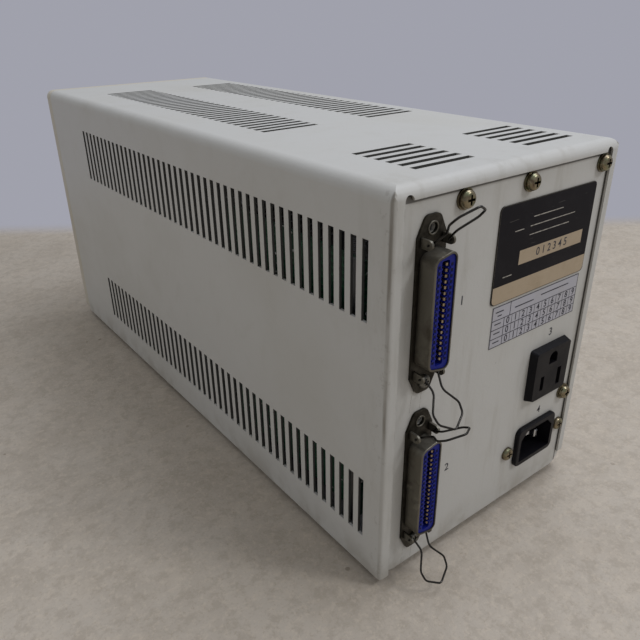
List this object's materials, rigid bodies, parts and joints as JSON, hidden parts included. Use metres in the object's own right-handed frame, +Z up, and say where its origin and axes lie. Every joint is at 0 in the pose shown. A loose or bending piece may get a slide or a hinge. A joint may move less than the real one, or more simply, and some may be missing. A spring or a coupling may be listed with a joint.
{
  "type": "external floppy disk drive",
  "caption": "Tall vented steel case with floppy drives on edge, wire-bail ribbon receptacles, a mains outlet and a mains inlet on its back.",
  "frame": {"origin": "on the floor plane that the four feet stand on, under the middle of the steel case", "axes": "+Z up, -Y is the front with the disk slots, +Y the back with the receptacles, +X the side nearer to the receptacles"},
  "size_m": [0.13, 0.3856, 0.172],
  "materials": {
    "case_paint": "satin, light texture",
    "bezel_plastic": "fine moulded grain",
    "tray_zinc": "zinc plated",
    "foot_rubber": "matte",
    "yellow_zinc": "yellow zinc plated",
    "bright_zinc": "bright zinc plated",
    "nickel_shell": "dull nickel plated",
    "blue_moulding": "satin",
    "gold_contacts": "gold plated",
    "bail_wire": "darkened spring wire",
    "circuit_board": "solder mask",
    "black_socket": "satin",
    "brass_clips": "dull",
    "plate_black": "printed foil",
    "label_white": "printed paper",
    "rocker_black": "satin",
    "lamp_red": "clear tinted lens",
    "faceplate_plastic": "fine moulded grain",
    "lever_plastic": "satin",
    "cast_frame": "as cast",
    "clamp_steel": "plated sheet",
    "cone_plastic": "smooth",
    "spindle_metal": "turned",
    "stator_board": "board with wound coils",
    "ground_steel": "ground",
    "motor_can": "dark plated",
    "core_laminate": "varnished laminations",
    "winding_tape": "taped coil",
    "capacitor_sleeve": "shrink sleeve",
    "sink_black": "black anodised",
    "ribbon_grey": "ribbed flat cable",
    "wire_sleeve": "sleeved bundle"
  },
  "bodies": {
    "case": {"cover": "case_paint", "base_tray": "tray_zinc", "rear_panel": "case_paint", "front_bezel": "bezel_plastic", "rubber_feet": "foot_rubber", "panel_screws": "yellow_zinc", "panel_washers": "yellow_zinc", "cover_screws": "bright_zinc", "drive_screws": "bright_zinc", "upper_connector_shell": "nickel_shell", "upper_connector_insulator": "blue_moulding", "lower_connector_shell": "nickel_shell", "lower_connector_insulator": "blue_moulding", "ribbon_contacts": "gold_contacts", "connector_screws": "bright_zinc", "link_board": "circuit_board", "outlet_body": "black_socket", "outlet_contacts": "brass_clips", "inlet_body": "black_socket", "inlet_pins": "bright_zinc", "inlet_screws": "yellow_zinc", "rating_plate": "plate_black", "revision_label": "label_white", "power_switch": "black_socket", "indicator_lamps": "lamp_red", "spindle_motors": "stator_board", "guide_rods": "ground_steel", "transformer_core": "core_laminate", "transformer_winding": "winding_tape", "supply_board": "circuit_board", "supply_capacitors": "capacitor_sleeve", "heat_sink": "sink_black", "signal_ribbon": "ribbon_grey", "power_harness": "wire_sleeve", "mains_wires": "wire_sleeve", "drive_a_chassis": "cast_frame", "drive_a_faceplate": "faceplate_plastic", "drive_a_stepper_motor": "motor_can", "drive_a_logic_board": "circuit_board", "drive_b_chassis": "cast_frame", "drive_b_faceplate": "faceplate_plastic", "drive_b_stepper_motor": "motor_can", "drive_b_logic_board": "circuit_board"},
    "power_rocker": {"power_rocker": "rocker_black"},
    "upper_top_bail": {"upper_top_bail": "bail_wire"},
    "upper_bottom_bail": {"upper_bottom_bail": "bail_wire"},
    "lower_top_bail": {"lower_top_bail": "bail_wire"},
    "lower_bottom_bail": {"lower_bottom_bail": "bail_wire"},
    "drive_a_lever": {"drive_a_lever": "lever_plastic"},
    "drive_a_clamp_arm": {"drive_a_clamp_arm": "clamp_steel"},
    "drive_a_clamp_cone": {"drive_a_clamp_cone": "cone_plastic"},
    "drive_a_spindle": {"drive_a_spindle": "spindle_metal"},
    "drive_a_head_carriage": {"drive_a_head_carriage": "cast_frame"},
    "drive_a_lead_screw": {"drive_a_lead_screw": "ground_steel"},
    "drive_b_lever": {"drive_b_lever": "lever_plastic"},
    "drive_b_clamp_arm": {"drive_b_clamp_arm": "clamp_steel"},
    "drive_b_clamp_cone": {"drive_b_clamp_cone": "cone_plastic"},
    "drive_b_spindle": {"drive_b_spindle": "spindle_metal"},
    "drive_b_head_carriage": {"drive_b_head_carriage": "cast_frame"},
    "drive_b_lead_screw": {"drive_b_lead_screw": "ground_steel"}
  },
  "joints": [
    {"name": "upper_top_bail_hinge", "type": "hinge", "parent": "case", "child": "upper_top_bail", "pos_m": [0.046, 0.18115, 0.1516], "axis": [1, 0, 0], "range_deg": [-61, 44]},
    {"name": "upper_bottom_bail_hinge", "type": "hinge", "parent": "case", "child": "upper_bottom_bail", "pos_m": [0.046, 0.18115, 0.1], "axis": [-1, 0, 0], "range_deg": [-65, 40]},
    {"name": "lower_top_bail_hinge", "type": "hinge", "parent": "case", "child": "lower_top_bail", "pos_m": [0.046, 0.18115, 0.0732], "axis": [1, 0, 0], "range_deg": [-45, 0]},
    {"name": "lower_bottom_bail_hinge", "type": "hinge", "parent": "case", "child": "lower_bottom_bail", "pos_m": [0.046, 0.18115, 0.0216], "axis": [-1, 0, 0], "range_deg": [-65, 22]},
    {"name": "power_rocker_hinge", "type": "hinge", "parent": "case", "child": "power_rocker", "pos_m": [0.0443, -0.1775, 0.04], "axis": [-1, 0, 0], "range_deg": [0, 16]},
    {"name": "drive_a_lever_turn", "type": "hinge", "parent": "case", "child": "drive_a_lever", "pos_m": [0.0146, -0.177, 0.088], "axis": [0, 1, 0], "range_deg": [0, 90]},
    {"name": "drive_a_clamp_hinge", "type": "hinge", "parent": "case", "child": "drive_a_clamp_arm", "pos_m": [0.0177, -0.042, 0.088], "axis": [0, 0, -1], "range_deg": [0, 3.01]},
    {"name": "drive_a_cone_spin", "type": "hinge", "parent": "drive_a_clamp_arm", "child": "drive_a_clamp_cone", "pos_m": [0.02024, -0.09995, 0.088], "axis": [0.9986, 0.0523, 0], "continuous": true},
    {"name": "drive_a_spindle_spin", "type": "hinge", "parent": "case", "child": "drive_a_spindle", "pos_m": [0.0026, -0.1, 0.088], "axis": [1, 0, 0], "continuous": true},
    {"name": "drive_a_carriage_slide", "type": "slide", "parent": "case", "child": "drive_a_head_carriage", "axis": [0, -1, 0], "range_m": [0, 0.0203]},
    {"name": "drive_a_lead_screw_turn", "type": "hinge", "parent": "case", "child": "drive_a_lead_screw", "pos_m": [0.0036, -0.011, 0.114], "axis": [0, 1, 0], "range_deg": [0, 1925]},
    {"name": "drive_b_lever_turn", "type": "hinge", "parent": "case", "child": "drive_b_lever", "pos_m": [-0.0276, -0.177, 0.088], "axis": [0, 1, 0], "range_deg": [0, 90]},
    {"name": "drive_b_clamp_hinge", "type": "hinge", "parent": "case", "child": "drive_b_clamp_arm", "pos_m": [-0.0245, -0.042, 0.088], "axis": [0, 0, -1], "range_deg": [0, 3.01]},
    {"name": "drive_b_cone_spin", "type": "hinge", "parent": "drive_b_clamp_arm", "child": "drive_b_clamp_cone", "pos_m": [-0.02196, -0.09995, 0.088], "axis": [0.9986, 0.0523, 0], "continuous": true},
    {"name": "drive_b_spindle_spin", "type": "hinge", "parent": "case", "child": "drive_b_spindle", "pos_m": [-0.0396, -0.1, 0.088], "axis": [1, 0, 0], "continuous": true},
    {"name": "drive_b_carriage_slide", "type": "slide", "parent": "case", "child": "drive_b_head_carriage", "axis": [0, -1, 0], "range_m": [0, 0.0203]},
    {"name": "drive_b_lead_screw_turn", "type": "hinge", "parent": "case", "child": "drive_b_lead_screw", "pos_m": [-0.0386, -0.011, 0.114], "axis": [0, 1, 0], "range_deg": [0, 1925]}
  ],
  "couplings": [
    {"joint": "drive_a_clamp_hinge", "follows": "drive_a_lever_turn", "ratio": 0.033333},
    {"joint": "drive_a_lead_screw_turn", "follows": "drive_a_carriage_slide", "rad_per_m": 1653.5},
    {"joint": "drive_b_clamp_hinge", "follows": "drive_b_lever_turn", "ratio": 0.033333},
    {"joint": "drive_b_lead_screw_turn", "follows": "drive_b_carriage_slide", "rad_per_m": 1653.5}
  ]
}
